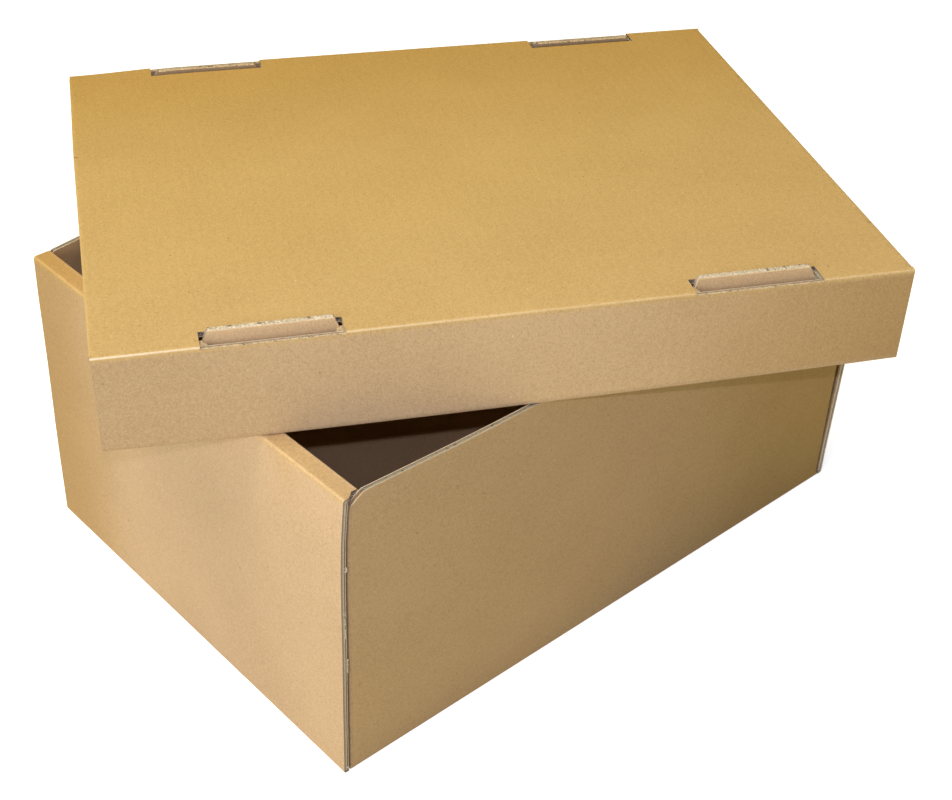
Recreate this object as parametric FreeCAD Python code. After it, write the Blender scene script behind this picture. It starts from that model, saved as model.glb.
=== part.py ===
import FreeCAD, Part
import math
import os

# A two-piece storage box of corrugated board: a folded tray, and a lift-off lid that lies
# askew on the tray's rim. Each piece is one sheet that was cut, creased and folded.
# Millimetres, +Z up, +X along the tray's length, origin at the middle of the tray's underside.

Vector = FreeCAD.Vector

# Board and its folds
board = 3.2
inner_bend = 0.6
outer_bend = 1.5
upright_bend = 3.0
fold_room = board + inner_bend
layer_gap = 0.6
edge_inset = 0.3
flap_taper = 9.0

# Cut corners of the single walls, beside the rolled ones
corner_drop = 6.0
corner_run = 9.0
corner_round = 5.0

# Tray
tray_length = 436.0
tray_width = 310.0
tray_height = 199.0
tray_flap_reach = 95.0
tray_flap_play = 1.4
tray_roll = 3.0 * board + 2.0 * tray_flap_play

# Locking tabs of the tray's ends, in slots in the floor
tray_tab_spacing = 160.0
tray_tab_width = 46.0
tray_tab_slant = 1.0
tray_tab_recess = 0.5

# Lid
lid_length = 447.0
lid_width = 348.0
lid_height = 59.0
lid_flap_reach = 110.0
lid_flap_play = 0.6
lid_roll = 14.0

# Tabs of the lid's long sides, which stand proud of the slots in its top
lid_tab_spacing = 264.0
lid_tab_width = 65.0
lid_tab_slant = 3.0
lid_tab_proud = 3.0
slot_lip_drop = 1.5

# Tabs and slots of both sheets
tab_corner = 0.9
tab_end_play = 1.5
tab_face_play = 0.4

# How the lid lies on the rim
lid_turn = -28.0
lid_shift = Vector(-5.7, 2.7, 0.0)


def rounded_face(points, radii):
    """A flat face from a closed list of corners, each rounded by its own radius."""
    arcs = []
    joins = []
    for i, corner in enumerate(points):
        back = (points[i - 1] - corner).normalize()
        ahead = (points[(i + 1) % len(points)] - corner).normalize()
        half_angle = 0.5 * back.getAngle(ahead)
        trim = radii[i] / math.tan(half_angle)
        start = corner + back * trim
        end = corner + ahead * trim
        joins.append((start, end))
        if radii[i] > 0:
            inward = (back + ahead).normalize()
            middle = corner + inward * (radii[i] / math.sin(half_angle) - radii[i])
            arcs.append(Part.Arc(start, middle, end).toShape())
    lines = []
    for i, (start, end) in enumerate(joins):
        following = joins[(i + 1) % len(joins)][0]
        if end.distanceToPoint(following) > 1e-6:
            lines.append(Part.LineSegment(end, following).toShape())
    return Part.Face(Part.Wire(Part.__sortEdges__(arcs + lines)))


def prism(points, along, radii=None):
    """A solid from a flat outline pushed along a vector."""
    return rounded_face(points, radii or [0.0] * len(points)).extrude(along)


def block(low, high):
    size = high - low
    return Part.makeBox(size.x, size.y, size.z, low)


def mirrored(shape, axis):
    return shape.mirror(Vector(0, 0, 0), axis)


# Both sheets are laid out alike. The flat panel's outer face is at z = 0. The rolled walls
# stand at -X and +X with their outer faces `span` apart, and the single walls stand at -Y and
# +Y with their outer faces `run` apart. Each is made at its negative side and mirrored.


def flat_panel(span, run):
    corner = Vector(span / 2 - fold_room, run / 2 - fold_room, 0)
    return block(corner * -1, corner + Vector(0, 0, board))


def rolled_wall(span, run, height, roll, play):
    """A wall that rolls over: outer panel, strip between two creases, inner panel.

    The inner panel is narrower, to fit between the single walls, so the strip's ends slant.
    """
    x0 = -span / 2
    foot = board + layer_gap / 2
    section = [
        Vector(x0 + fold_room, -run / 2, 0),
        Vector(x0, -run / 2, 0),
        Vector(x0, -run / 2, height),
        Vector(x0 + roll, -run / 2, height),
        Vector(x0 + roll, -run / 2, foot),
        Vector(x0 + roll - board, -run / 2, foot),
        Vector(x0 + roll - board, -run / 2, height - board),
        Vector(x0 + board, -run / 2, height - board),
        Vector(x0 + board, -run / 2, board),
        Vector(x0 + fold_room, -run / 2, board),
    ]
    bends = [outer_bend] * 3 + [0, 0] + [inner_bend] * 3
    full = prism(section, Vector(0, run, 0), [0] + bends + [0])
    outer_half = run / 2 - edge_inset
    inner_half = run / 2 - board - layer_gap
    slant_end = x0 + 2 * board + play
    plan = [
        Vector(x0, -outer_half, 0),
        Vector(x0 + board, -outer_half, 0),
        Vector(slant_end, -inner_half, 0),
        Vector(x0 + roll, -inner_half, 0),
        Vector(x0 + roll, inner_half, 0),
        Vector(slant_end, inner_half, 0),
        Vector(x0 + board, outer_half, 0),
        Vector(x0, outer_half, 0),
    ]
    return full.common(prism(plan, Vector(0, 0, height)))


def single_wall_fold(span, run, play):
    """The fold between the flat panel and a single wall."""
    start = -span / 2 + board + play + layer_gap
    y0 = -run / 2
    section = [
        Vector(start, y0 + fold_room, 0),
        Vector(start, y0, 0),
        Vector(start, y0, fold_room),
        Vector(start, y0 + board, fold_room),
        Vector(start, y0 + board, board),
        Vector(start, y0 + fold_room, board),
    ]
    return prism(section, Vector(-2 * start, 0, 0), [0, outer_bend, 0, 0, inner_bend, 0])


def single_wall(span, run, height, reach, play):
    """A wall of one board that ends in two corner flaps, tucked inside the rolled walls.

    Play is the gap between a flap and the outer panel in front of it.
    """
    side = -span / 2 + board + play
    y0 = -run / 2
    plan = [
        Vector(side, y0 + reach, fold_room),
        Vector(side, y0, fold_room),
        Vector(-side, y0, fold_room),
        Vector(-side, y0 + reach, fold_room),
        Vector(-side - board, y0 + reach, fold_room),
        Vector(-side - board, y0 + board, fold_room),
        Vector(side + board, y0 + board, fold_room),
        Vector(side + board, y0 + reach, fold_room),
    ]
    bends = [0, upright_bend, upright_bend, 0, 0, inner_bend, inner_bend, 0]
    upright = prism(plan, Vector(0, 0, height - fold_room), bends)
    seen_from_front = [
        Vector(side, y0, fold_room),
        Vector(side, y0, height - corner_drop),
        Vector(side + corner_run, y0, height),
        Vector(-side - corner_run, y0, height),
        Vector(-side, y0, height - corner_drop),
        Vector(-side, y0, fold_room),
    ]
    seen_from_side = [
        Vector(side, y0, fold_room),
        Vector(side, y0 + fold_room, fold_room),
        Vector(side, y0 + reach, fold_room + flap_taper),
        Vector(side, y0 + reach, height - corner_drop - flap_taper),
        Vector(side, y0 + fold_room, height - corner_drop),
        Vector(side, y0 + fold_room, height),
        Vector(side, y0, height),
    ]
    rounds = [0, corner_round, corner_round, corner_round, corner_round, 0]
    upright = upright.common(prism(seen_from_front, Vector(0, reach, 0), rounds))
    return upright.common(prism(seen_from_side, Vector(-2 * side, 0, 0)))


def tab(span, roll, centre, width, slant, tip_z):
    """A tab on the inner panel's free edge, narrower at its tip."""
    x1 = -span / 2 + roll
    root_z = board + layer_gap
    points = [
        Vector(x1, centre - width / 2, tip_z),
        Vector(x1, centre + width / 2, tip_z),
        Vector(x1, centre + width / 2 + slant, root_z),
        Vector(x1, centre - width / 2 - slant, root_z),
    ]
    return prism(points, Vector(-board, 0, 0), [tab_corner, tab_corner, 0, 0])


def folded_sheet(span, run, height, roll, reach, play, slots, tabs):
    """The whole sheet as one solid, with its slots cut before its tabs go in."""
    rolled = rolled_wall(span, run, height, roll, play)
    wall = single_wall(span, run, height, reach, play)
    single = single_wall_fold(span, run, play).fuse(wall)
    along_x = Vector(1, 0, 0)
    along_y = Vector(0, 1, 0)
    sheet = flat_panel(span, run)
    sheet = sheet.fuse([rolled, mirrored(rolled, along_x), single, mirrored(single, along_y)])
    sheet = sheet.cut(slots + [mirrored(slot, along_x) for slot in slots])
    sheet = sheet.fuse(tabs + [mirrored(piece, along_x) for piece in tabs])
    return sheet.removeSplitter()


def tray():
    tabs = []
    slots = []
    inner_face = -tray_length / 2 + tray_roll
    half_slot = tray_tab_width / 2 + tray_tab_slant + tab_end_play
    for centre in (-tray_tab_spacing / 2, tray_tab_spacing / 2):
        tabs.append(
            tab(tray_length, tray_roll, centre, tray_tab_width, tray_tab_slant, tray_tab_recess)
        )
        low = Vector(inner_face - board - tab_face_play, centre - half_slot, 0)
        slots.append(block(low, Vector(inner_face + tab_face_play, centre + half_slot, board)))
    return folded_sheet(
        tray_length,
        tray_width,
        tray_height,
        tray_roll,
        tray_flap_reach,
        tray_flap_play,
        slots,
        tabs,
    )


def lid_slots(centre):
    """A slot reaches from the fold's outer face, where it leaves a low lip, to past the tab."""
    outer_face = -lid_width / 2
    half_slot = lid_tab_width / 2 + lid_tab_slant + tab_end_play
    past_tab = outer_face + lid_roll + tab_face_play
    through = Vector(outer_face + board, centre - half_slot, 0)
    lip = Vector(outer_face, centre - half_slot, 0)
    return [
        block(through, Vector(past_tab, centre + half_slot, fold_room)),
        block(lip, Vector(outer_face + board, centre + half_slot, slot_lip_drop)),
    ]


def lid():
    tabs = []
    slots = []
    for centre in (-lid_tab_spacing / 2, lid_tab_spacing / 2):
        tabs.append(tab(lid_width, lid_roll, centre, lid_tab_width, lid_tab_slant, -lid_tab_proud))
        slots.extend(lid_slots(centre))
    sheet = folded_sheet(
        lid_width,
        lid_length,
        lid_height,
        lid_roll,
        lid_flap_reach,
        lid_flap_play,
        slots,
        tabs,
    )
    origin = Vector(0, 0, 0)
    sheet.rotate(origin, Vector(0, 0, 1), 90)
    sheet.rotate(origin, Vector(1, 0, 0), 180)
    sheet.translate(Vector(0, 0, lid_height))
    sheet.rotate(origin, Vector(0, 0, 1), lid_turn)
    sheet.translate(lid_shift + Vector(0, 0, tray_height))
    return sheet


def write(shape, node):
    shape.exportStep(os.path.join("parts", node + ".step"))
    print(node, "solids", len(shape.Solids), "valid", shape.isValid(), "volume", shape.Volume)


os.makedirs("parts", exist_ok=True)
write(tray(), "tray")
write(lid(), "lid")
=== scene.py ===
import math
from collections import namedtuple

import bpy
from mathutils import Matrix, Vector, noise

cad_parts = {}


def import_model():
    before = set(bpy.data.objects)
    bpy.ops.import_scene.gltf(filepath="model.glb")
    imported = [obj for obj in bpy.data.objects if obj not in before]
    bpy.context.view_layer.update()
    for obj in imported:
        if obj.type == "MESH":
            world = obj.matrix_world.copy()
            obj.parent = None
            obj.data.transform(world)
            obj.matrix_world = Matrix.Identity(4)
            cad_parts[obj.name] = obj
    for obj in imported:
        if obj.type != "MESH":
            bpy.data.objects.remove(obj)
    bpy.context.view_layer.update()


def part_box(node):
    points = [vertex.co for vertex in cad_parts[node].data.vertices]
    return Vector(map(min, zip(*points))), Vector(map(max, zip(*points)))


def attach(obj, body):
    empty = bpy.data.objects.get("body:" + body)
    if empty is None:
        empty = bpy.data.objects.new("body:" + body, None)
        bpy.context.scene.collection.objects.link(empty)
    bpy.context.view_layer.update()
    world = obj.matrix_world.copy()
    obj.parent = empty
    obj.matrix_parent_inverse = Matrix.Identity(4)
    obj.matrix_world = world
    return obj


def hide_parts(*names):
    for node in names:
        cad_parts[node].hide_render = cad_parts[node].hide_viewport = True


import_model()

# Everything is in metres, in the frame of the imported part.
MM = 0.001
TINY = 1e-7

# Board: two liners with a fluted sheet between them
BOARD = 3.2 * MM
LINER = 0.38 * MM
FLUTE_PAPER = 0.26 * MM
FLUTE_PITCH = 6.5 * MM
# The flat share of a crest or trough
FLUTE_FLAT = 0.2

# Folds of the board
INNER_BEND = 0.3 * MM
OUTER_BEND = 1.5 * MM
UPRIGHT_BEND = 1.8 * MM
FOLD_ROOM = 3.8 * MM
FOLD_LENGTH = 2 * FOLD_ROOM - 0.86 * BOARD
# Shares of a fold's length: where its bend starts, and what the bend takes
BEND_START = 0.3
BEND_SHARE = 0.4
# How sharply a fold's rubbing peaks, and where a corner fold's darkening begins and is full.
# The darkening is scuffs, and painted shade where the fold turns into the corner.
WEAR_SHARPNESS = 5
CORNER_SCUFF_AND_SHADE_RANGE = (-0.1, 0.3)
LAYER_GAP = 0.6 * MM
EDGE_INSET = 0.3 * MM

# Corner flaps and the cut corners of the single walls
FLAP_TAPER = 9.0 * MM
CORNER_DROP = 6.0 * MM
CORNER_RUN = 9.0 * MM
CORNER_SHARES = (0.15, 0.35, 0.6, 0.8, 1.0)
CORNER_FOOT = 0.7 * MM
# How far from its ends a single wall's height eases to its corner's
SQUEEZE = 28.0 * MM

# Slots and tabs. The lid's inner panel bulges in a belly towards its slot.
SLOT_LIP = 1.5 * MM
SLOT_SIDE = 0.04 * MM
TAB_CORNER = 0.5 * MM
TAB_ROUNDING = [TAB_CORNER * share for share in (1.0, 0.45, 0.12)]
TAB_END_PLAY = 1.5 * MM
TAB_FACE_PLAY = 0.4 * MM
TAB_BELLY = 3.6 * MM
BELLY_LENGTH = 19.0 * MM
BELLY_FULLNESS = 0.6
BELLY_FADE = 20.0 * MM
BELLY_MARKS = (3.0 * MM, 6.0 * MM, 9.0 * MM, 12.0 * MM, 16.0 * MM)
# From this share of the belly on, its paper counts as the tab's
BELLY_FACE = 0.3

# Torn fibre over cut edges
TAB_TEAR = 0.4 * MM
TAB_TEAR_INSET = 0.3 * MM
TAB_TEAR_SPARE = 0.2 * MM
LIP_TEAR = 1.9 * MM
LIP_TEAR_INSET = 0.1 * MM
LIP_TEAR_RISE = 0.3 * MM
SCRAP_OVERLAP = 0.2 * MM
SCRAP_DEPTH = 1.7 * MM
SCRAP_LENGTH = 7.5 * MM
SCRAP_WIDTH = 4.0 * MM
SCRAP_SLOPE = 1.2 * MM
SCRAP_RISE = 0.3 * MM
FRAYED_DEPTH = 0.35 * MM
FRAYED_RISE = 0.3 * MM
TORN_COLUMNS = (0.0, 0.18, 0.4, 0.62, 0.84, 1.0)
TORN_RAGGED = 0.22 * MM
TORN_COARSE = 2.4 * MM
TORN_FINE = 0.9 * MM
TORN_BUMP = 1.1 * MM
TORN_SPREAD = 40.0 * MM
TORN_APART = 9.0 * MM
# Shares of a strip's rise: how far it stands out, its edges sink and its back lies deep
TORN_LIFT = 0.3
TORN_SINK = 0.4
TORN_DEEP = 1.2

# Loose fibres on a raw edge: lowest and highest point, distance from the outer face, width
TUFTS = (
    (78.0 * MM, 88.0 * MM, 2.7 * MM, 1.2 * MM),
    (104.0 * MM, 118.0 * MM, 2.0 * MM, 0.7 * MM),
    (121.0 * MM, 123.0 * MM, 2.4 * MM, 0.6 * MM),
    (151.0 * MM, 154.0 * MM, 2.6 * MM, 1.6 * MM),
)
TUFT_LEAN = 0.4 * MM
TUFT_RISE = 0.5 * MM

# Half a dark nick's length
NICK_HALF = 1.3 * MM

# How finely sheets are divided, and where edges stay sharp
LINER_STEP = 16.0 * MM
PANEL_STEP = 24.0 * MM
STRIP_STEP = 1.6 * MM
BEND_STEPS = 6
FLUTE_BEND_STEPS = 3
TORN_STEP = 0.6 * MM
FRAYED_STEP = 1.5 * MM
SHARP_ANGLE = math.radians(50.0)

# A paper's vertices join where they round to the same point of this grid
WELD_STEPS = 1e6
WELD_SHIFT = 0.37

# The slots of the materials
LINER_FACE, CUT_EDGE, FLUTE_FACE, TORN_EDGE, TORN_KRAFT, FRAYED_EDGE = range(6)

Station = namedtuple("Station", "place along zone wear")
Tab = namedtuple("Tab", "centre half slant tip_z")
SheetPlan = namedtuple(
    "SheetPlan",
    "name span run height roll reach play tabs slot_half slot_span square place warp rub tint nicks",
)


# Helpers


def new_object(name, data):
    piece = bpy.data.objects.new(name, data)
    bpy.context.scene.collection.objects.link(piece)
    return piece


def between(ends, share):
    """The value at a share of the way between two ends."""
    return ends[0] + (ends[1] - ends[0]) * share


def held(share):
    """A share held between 0 and 1."""
    return min(1.0, max(0.0, share))


def smooth(low, high, value):
    """Rises from 0 at the low value to 1 at the high one, without a kink."""
    share = held((value - low) / (high - low))
    return share * share * (3 - 2 * share)


def hump(value, middle, spread):
    """1 at the middle, falling smoothly to 0 on both sides."""
    return math.exp(-(((value - middle) / spread) ** 2))


def subdivide(marks, step):
    """Sorted marks with even divisions between them, none wider than step."""
    marks = sorted(set(marks))
    values = [marks[0]]
    for low, high in zip(marks, marks[1:]):
        if high - low < TINY:
            continue
        count = max(1, math.ceil((high - low) / step - 1e-6))
        values += [low + (high - low) * k / count for k in range(1, count + 1)]
    return values


# Folded paths


def flat(point, inward):
    """Places a depth below the board's outer face, at a point of a flat part."""

    def place(depth):
        return point + inward * depth

    return place


def straight(start, end, inward, along, zone, marks=(), step=PANEL_STEP):
    """Stations after the start, up to the end.

    Marks are distances from the start where a station has to lie.
    """
    length = (end - start).length
    if length < TINY:
        return []
    stops = [0.0, length, *[mark for mark in marks if 0.0 < mark < length]]
    stations = []
    for gone in subdivide(stops, step)[1:]:
        point = start + (end - start) * (gone / length)
        stations.append(Station(flat(point, inward), along + gone, zone, 0.0))
    return stations


def folded(corner, first, second, radius, share):
    """Places a depth at a share of the way round a fold.

    The corner is where the two outer faces would meet, and first and second point inward from
    them.
    """
    angle = math.pi / 2 * share
    inward = first * math.cos(angle) + second * math.sin(angle)

    def place(depth):
        arc = max(radius - depth, INNER_BEND)
        return corner + (first + second) * (depth + arc) - inward * arc

    return place


def fold(corner, first, second, radius, along, zones, steps):
    """Stations round a fold, from its first face to where its second face is flat again.

    Zones are of the stations up to the end of the bend, of the bend's end, and after it.
    """
    stations = []
    for k in range(steps + 1):
        share = k / steps
        place = folded(corner, first, second, radius, share)
        zone = zones[1] if k == steps else zones[0]
        distance = FOLD_LENGTH * (BEND_START + BEND_SHARE * share)
        wear = math.sin(math.pi * share) ** WEAR_SHARPNESS
        # A corner fold is darkened instead: scuffs, and painted shade where it turns into the corner.
        if zones[0] == "corner":
            wear = -smooth(*CORNER_SCUFF_AND_SHADE_RANGE, share)
        stations.append(Station(place, along + distance, zone, wear))
    end = flat(corner + first * FOLD_ROOM, second)
    stations.append(Station(end, along + FOLD_LENGTH, zones[2], 0.0))
    return stations


# The mesh of one sheet


class Paper:
    """Collects the sheets of paper of one folded board, and makes one mesh of them."""

    def __init__(self, plan):
        self.plan = plan
        self.front = []
        self.back = []
        self.blank = []
        self.wear = []
        self.zone = []
        self.cells = []
        self.index = {}

    def vertex(self, front, back, blank, wear, zone="inside"):
        key = tuple(math.floor(c * WELD_STEPS + WELD_SHIFT) for c in front)
        if key not in self.index:
            self.index[key] = len(self.front)
            self.front.append(front)
            self.back.append(back)
            self.blank.append(blank)
            self.wear.append(wear)
            self.zone.append(zone)
        return self.index[key]

    def grid(self, rows, columns, at, keep, flip, material):
        """Adds the kept cells between rows and columns. at(row, column) gives a vertex."""
        used = {}

        def vertex(i, j):
            if (i, j) not in used:
                used[(i, j)] = self.vertex(*at(rows[i], columns[j]))
            return used[(i, j)]

        for i in range(len(rows) - 1):
            for j in range(len(columns) - 1):
                middle = 0.5 * (columns[j] + columns[j + 1])
                if not keep(rows[i], rows[i + 1], middle):
                    continue
                cell = [vertex(i, j), vertex(i + 1, j), vertex(i + 1, j + 1), vertex(i, j + 1)]
                cell = list(dict.fromkeys(cell))
                if len(cell) < 3:
                    continue
                if flip:
                    cell.reverse()
                self.cells.append((cell, material))

    def new_layer(self):
        """Papers made from here on aren't joined to those before."""
        self.index = {}

    def build(self, materials):
        """A mesh object: front and back of every cell, and the cut edges round them."""
        plan = self.plan
        count = len(self.front)
        points = [plan.place @ plan.warp(p) for p in self.front + self.back]
        faces = []
        slots = []
        owner = {}
        for cell, material in self.cells:
            faces.append(cell)
            faces.append([v + count for v in reversed(cell)])
            slots += [material, material]
            for a, b in zip(cell, cell[1:] + cell[:1]):
                owner.setdefault((min(a, b), max(a, b)), []).append((a, b, material))
        for sides in owner.values():
            if len(sides) == 1:
                a, b, material = sides[0]
                faces.append([b, a, a + count, b + count])
                slots.append(CUT_EDGE if material == LINER_FACE else material)
        mesh = bpy.data.meshes.new(plan.name)
        mesh.from_pydata([tuple(p) for p in points], [], faces)
        for material in materials:
            mesh.materials.append(material)
        mesh.polygons.foreach_set("material_index", slots)
        mesh.polygons.foreach_set("use_smooth", [True] * len(faces))
        blank = mesh.attributes.new("blank", "FLOAT_VECTOR", "POINT")
        blank.data.foreach_set("vector", [c for v in self.blank * 2 for c in v])
        wear = [plan.rub(*vertex) for vertex in zip(self.zone, self.wear, self.front)]
        aged_and_shaded, tanned_and_shaded = zip(*[plan.tint(*vertex) for vertex in zip(self.zone, self.front)])
        for name, values in (("wear", wear), ("aged_and_shaded", aged_and_shaded), ("tanned_and_shaded", tanned_and_shaded)):
            item = mesh.attributes.new(name, "FLOAT", "POINT")
            item.data.foreach_set("value", values * 2)
        mesh.validate()
        mesh.set_sharp_from_angle(angle=SHARP_ANGLE)
        return new_object(plan.name, mesh)


# Each layer gives the depth of its front and back below the board's outer face.


def outer_liner(across):
    return 0.0, LINER


def inner_liner(across):
    return BOARD - LINER, BOARD


def fluted(across):
    """Flutes with short flat crests, glued to the liners, and straight slopes."""
    swing = BOARD / 2 - LINER - FLUTE_PAPER / 2
    share = abs(2 * across / FLUTE_PITCH - 2 * round(across / FLUTE_PITCH))
    slope = (share - FLUTE_FLAT) / (1 - 2 * FLUTE_FLAT)
    middle = BOARD / 2 + swing * (1 - 2 * held(slope))
    return middle - FLUTE_PAPER / 2, middle + FLUTE_PAPER / 2


def sheet_columns(marks, layer):
    """Divides a strip across the flutes: evenly for a liner, at the crests' ends for flutes."""
    if layer is not fluted:
        return subdivide(marks, LINER_STEP)
    half = FLUTE_PITCH / 2
    first, last = math.floor(min(marks) / half), math.ceil(max(marks) / half)
    ends = [half * (k + side * FLUTE_FLAT) for k in range(first, last + 1) for side in (-1, 1)]
    inside = [end for end in ends if min(marks) < end < max(marks)]
    return subdivide([*marks, *inside], half)


# The three kinds of strip that make a sheet: the rolled walls with the flat panel between
# them, the single walls with their corner flaps, and the folds that join them to the panel.


def corner_marks(plan):
    """Distances from a single wall's middle where its cut corners divide."""
    side = plan.span / 2 - BOARD - plan.play
    return [side - FOLD_ROOM, *[side - CORNER_RUN * share for share in CORNER_SHARES]]


def panel_marks(plan, layer):
    """Distances from the middle, along the flutes, where the panel divides."""
    end = plan.span / 2 - FOLD_ROOM
    marks = [0.0, end, *[mark for mark in plan.slot_span if mark and mark < end]]
    if layer is not fluted:
        marks += corner_marks(plan)
        marks += [abs(nick.x) + step * NICK_HALF for nick in plan.nicks for step in (-1, 0, 1)]
    return marks


def bend_steps(layer):
    return FLUTE_BEND_STEPS if layer is fluted else BEND_STEPS


def rolled_rows(plan, layer):
    """Stations from the panel's middle to the tip of the tabs, in the x-z plane."""
    steps = bend_steps(layer)
    up, down, right, left = Vector((0, 1)), Vector((0, -1)), Vector((1, 0)), Vector((-1, 0))
    rows = [
        Station(flat(Vector((-x, 0.0)), up), x, "panel", 0.0)
        for x in subdivide(panel_marks(plan, layer), PANEL_STEP)
    ]
    x0 = -plan.span / 2
    top = plan.height
    x1 = x0 + plan.roll
    zones = ("foot", "lip", "wall")
    rows += fold(Vector((x0, 0)), up, right, OUTER_BEND, rows[-1].along, zones, steps)
    low = Vector((x0, FOLD_ROOM))
    high = Vector((x0, top - FOLD_ROOM))
    rows += straight(low, high, right, rows[-1].along, "wall")
    zones = ("crease", "strip", "strip")
    rows += fold(Vector((x0, top)), right, down, OUTER_BEND, rows[-1].along, zones, steps)
    start = Vector((x0 + FOLD_ROOM, top))
    end = Vector((x1 - FOLD_ROOM, top))
    marks = [slant_end(plan) - FOLD_ROOM]
    rows += straight(start, end, down, rows[-1].along, "strip", marks, STRIP_STEP)
    zones = ("inner", "inner", "inner")
    rows += fold(Vector((x1, top)), down, left, OUTER_BEND, rows[-1].along, zones, steps)
    foot = BOARD + LAYER_GAP / 2
    start = Vector((x1, top - FOLD_ROOM))
    end = Vector((x1, foot))
    marks = [(end - start).length - mark for mark in BELLY_MARKS]
    rows += straight(start, end, left, rows[-1].along, "inner", marks)
    tip = Vector((x1, plan.tabs[0].tip_z))
    if plan.slot_span[1] is None:
        tip.y += TAB_TEAR
    length = foot - tip.y
    marks = [length - d for d in TAB_ROUNDING]
    rows += straight(end, tip, left, rows[-1].along, "tab", marks)
    return rows


def slant_end(plan):
    """Where the strip's slanted ends reach the single wall's flap, from the outer face."""
    return 2 * BOARD + plan.play


def rolled_columns(plan, layer):
    core = plan.run / 2 - FOLD_ROOM
    outer = plan.run / 2 - EDGE_INSET
    marks = [-outer, -core, core, outer]
    for tab in plan.tabs:
        marks += [tab.centre - tab.half - tab.slant, tab.centre + tab.half + tab.slant]
        for edge in (plan.slot_half, plan.slot_half - SLOT_SIDE):
            marks += [tab.centre - edge, tab.centre + edge]
    return sheet_columns(marks, layer)


def tab_at(plan, across):
    for tab in plan.tabs:
        if abs(across - tab.centre) <= tab.half + tab.slant + TINY:
            return tab
    return None


def tab_half(plan, tab, z):
    """Half the tab's width at a height, with its tip's corners rounded."""
    foot = BOARD + LAYER_GAP / 2
    share = (foot - z) / (foot - tab.tip_z)
    half = tab.half + tab.slant * (1.0 - share)
    left = TAB_CORNER - (z - tab.tip_z)
    if left > 0:
        half -= TAB_CORNER - math.sqrt(max(0.0, TAB_CORNER**2 - left**2))
    return half


def lip_along(plan):
    return next(row.along for row in rolled_rows(plan, outer_liner) if row.zone == "lip")


def in_slot(plan, across, half):
    return any(abs(across - tab.centre) < half for tab in plan.tabs)


def is_square(plan, side, across):
    """One corner of the tray's rim is cut square instead of slanted."""
    return plan.square == (side, math.copysign(1, across))


def rolled_keep(plan, side):
    core = plan.run / 2 - FOLD_ROOM
    slot_low, slot_high = plan.slot_span
    slot_high = slot_high or lip_along(plan)

    def keep(row, following, across):
        zone = following.zone
        inside = abs(across) < core
        middle = 0.5 * (row.along + following.along)
        if slot_low < middle < slot_high and in_slot(plan, across, plan.slot_half):
            return False
        if zone == "tab":
            return tab_at(plan, across) is not None
        if zone == "panel":
            return inside
        square = is_square(plan, side, across)
        if zone == "inner":
            return inside or square and following.place(0.0).y > plan.height - OUTER_BEND / 2
        if zone == "strip":
            return inside or square or row.place(0.0).x + plan.span / 2 < slant_end(plan) - TINY
        return True

    return keep


def belly_share(plan, across, z):
    """The inner panel bulges towards its slot just behind a tab."""
    tip = plan.tabs[0].tip_z
    share = (z - tip) / BELLY_LENGTH
    if not 0.0 < share < 1.0:
        return 0.0
    beside = max(0.0, min(abs(across - tab.centre) for tab in plan.tabs) - plan.slot_half)
    return math.sin(math.pi * share) ** BELLY_FULLNESS * max(0.0, 1.0 - beside / BELLY_FADE)


def outer_zone(layer, zone):
    """The zone's name for the outer paper. The board's other papers are all inside."""
    return zone if layer is outer_liner else "inside"


def rolled_at(plan, layer, side):
    """Places a point of the rolled chain. side is 1 at -X and -1 at +X."""
    x0 = -plan.span / 2
    core = plan.run / 2 - FOLD_ROOM
    wing = FOLD_ROOM - EDGE_INSET
    has_lip = plan.slot_span[1] is None

    def at(row, across):
        y = across
        if row.zone == "strip" and abs(y) > core and not is_square(plan, side, y):
            gone = held((row.place(0.0).x - x0 - BOARD) / (slant_end(plan) - BOARD))
            reach = (abs(y) - core) / wing
            y = math.copysign(core + wing * reach * (1.0 - gone), y)
        if row.zone == "tab":
            tab = tab_at(plan, across)
            if tab:
                full = tab.half + tab.slant
                share = tab_half(plan, tab, row.place(0.0).y) / full
                y = tab.centre + (across - tab.centre) * share
        place = row.place
        belly = 0.0
        if has_lip and row.zone in ("inner", "tab"):
            belly = TAB_BELLY * belly_share(plan, across, row.place(0.0).y)
        if has_lip and row.zone == "lip" and in_slot(plan, across, plan.slot_half - SLOT_SIDE / 2):
            place = flat(Vector((x0, SLOT_LIP)), Vector((1.0, 0.0)))
        near, far = layer(across)
        spots = (place(near), place(far))
        front, back = (Vector((side * (spot.x - belly), y, spot.y)) for spot in spots)
        blank = (side * row.along, across, near + far)
        zone = "tab" if belly > BELLY_FACE * TAB_BELLY else outer_zone(layer, row.zone)
        return front, back, blank, row.wear, zone

    return at


def single_rows(plan, layer):
    """Stations from a single wall's middle to the end of its corner flap, in the x-y plane."""
    y0 = -plan.run / 2
    side = plan.span / 2 - BOARD - plan.play
    forward, right = Vector((0.0, 1.0)), Vector((1.0, 0.0))
    marks = [*panel_marks(plan, layer), *corner_marks(plan)]
    marks = [mark for mark in marks if mark <= side - FOLD_ROOM + TINY]
    steps = bend_steps(layer)
    rows = [
        Station(flat(Vector((-x, y0)), forward), x, "wall", 0.0)
        for x in subdivide(marks, PANEL_STEP)
    ]
    beside_bend = side - UPRIGHT_BEND - SLOT_SIDE
    rows.append(Station(flat(Vector((-beside_bend, y0)), forward), beside_bend, "wall", 0.0))
    zones = ("corner", "corner", "flap")
    rows += fold(Vector((-side, y0)), forward, right, UPRIGHT_BEND, rows[-1].along, zones, steps)
    start = Vector((-side, y0 + FOLD_ROOM))
    end = Vector((-side, y0 + plan.reach))
    rows += straight(start, end, right, rows[-1].along, "flap")
    return rows


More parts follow.
